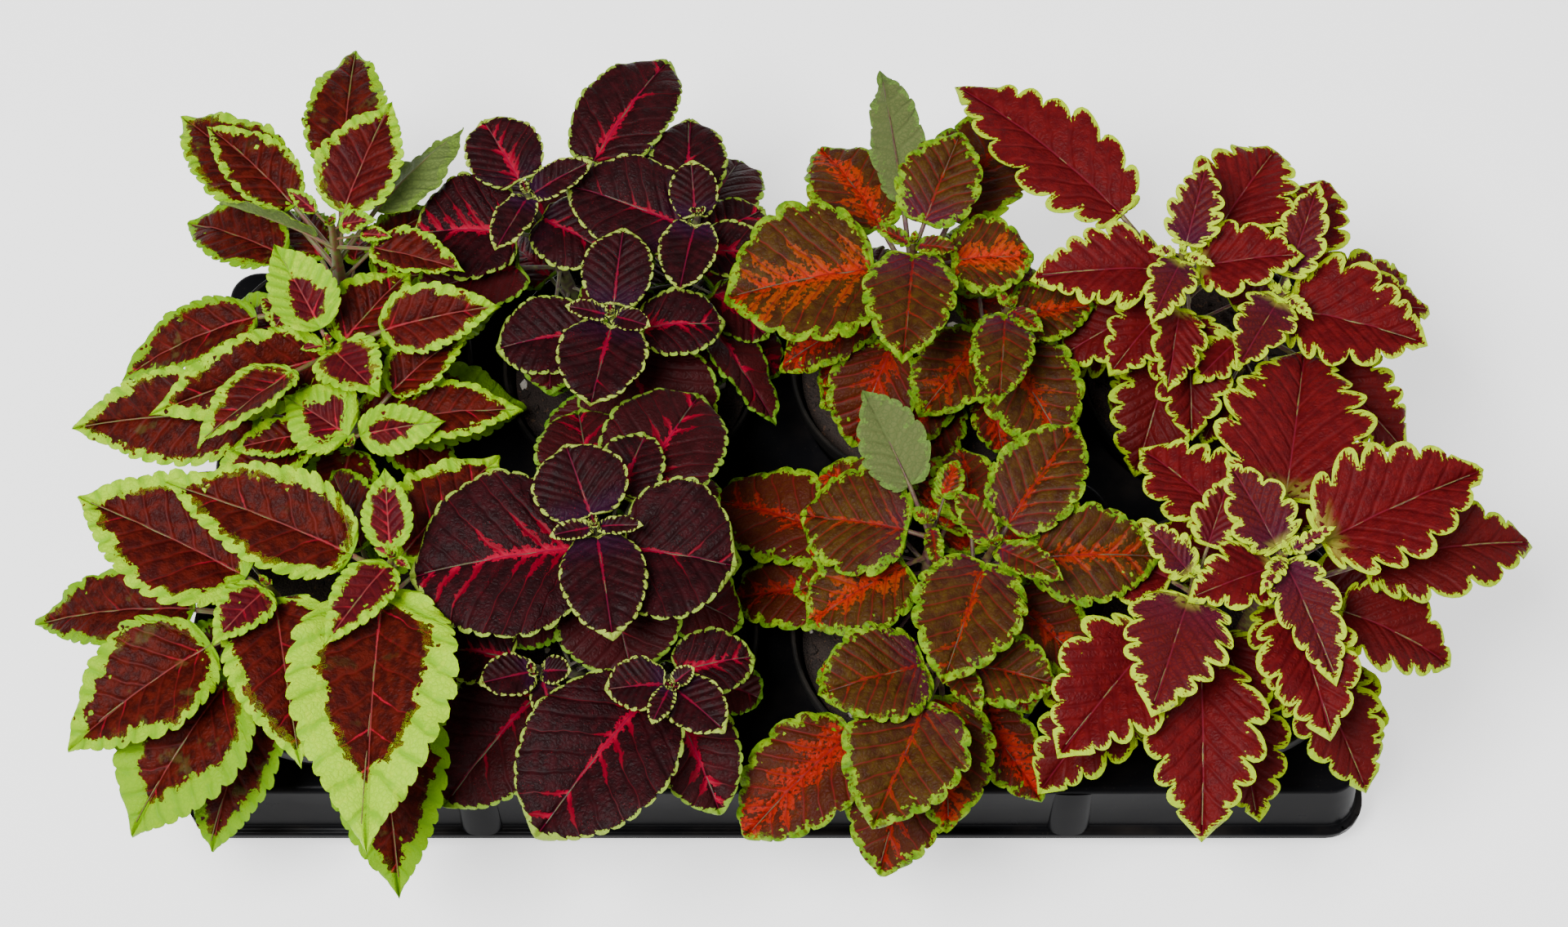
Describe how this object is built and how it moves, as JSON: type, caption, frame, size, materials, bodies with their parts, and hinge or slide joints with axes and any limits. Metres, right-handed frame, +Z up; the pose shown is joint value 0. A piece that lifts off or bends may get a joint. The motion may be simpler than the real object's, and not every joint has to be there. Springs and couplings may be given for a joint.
{
  "type": "tray of potted coleus plants",
  "caption": "Young coleus plants with patterned leaves, in round pots that stand in two rows in a formed carry tray.",
  "frame": {"origin": "middle of the tray, on the surface that it stands on", "axes": "+Z up; +X along the tray's length, towards the crimson plants; -Y is the front long side"},
  "size_m": [0.6574, 0.4104, 0.1959],
  "materials": {
    "tray": "satin",
    "pot": "matte",
    "soil": "matte",
    "foliage_lime": "satin",
    "foliage_dark": "satin",
    "foliage_olive": "satin",
    "foliage_crimson": "satin"
  },
  "bodies": {
    "root": {"tray": "tray", "pot_lime_front": "pot", "pot_lime_back": "pot", "pot_dark_front": "pot", "pot_dark_back": "pot", "pot_olive_front": "pot", "pot_olive_back": "pot", "pot_crimson_front": "pot", "pot_crimson_back": "pot", "soil_lime_front": "soil", "soil_lime_back": "soil", "soil_dark_front": "soil", "soil_dark_back": "soil", "soil_olive_front": "soil", "soil_olive_back": "soil", "soil_crimson_front": "soil", "soil_crimson_back": "soil", "stem_lime_front_1": "foliage_lime", "stem_lime_front_2": "foliage_lime", "stem_lime_back_1": "foliage_lime", "stem_lime_back_2": "foliage_lime", "stem_lime_back_3": "foliage_lime", "stem_dark_front_1": "foliage_dark", "stem_dark_front_2": "foliage_dark", "stem_dark_front_3": "foliage_dark", "stem_dark_back_1": "foliage_dark", "stem_dark_back_2": "foliage_dark", "stem_dark_back_3": "foliage_dark", "stem_olive_front_1": "foliage_olive", "stem_olive_front_2": "foliage_olive", "stem_olive_front_3": "foliage_olive", "stem_olive_back_1": "foliage_olive", "stem_olive_back_2": "foliage_olive", "stem_crimson_front_1": "foliage_crimson", "stem_crimson_front_2": "foliage_crimson", "stem_crimson_back_1": "foliage_crimson", "stem_crimson_back_2": "foliage_crimson"}
  },
  "joints": []
}
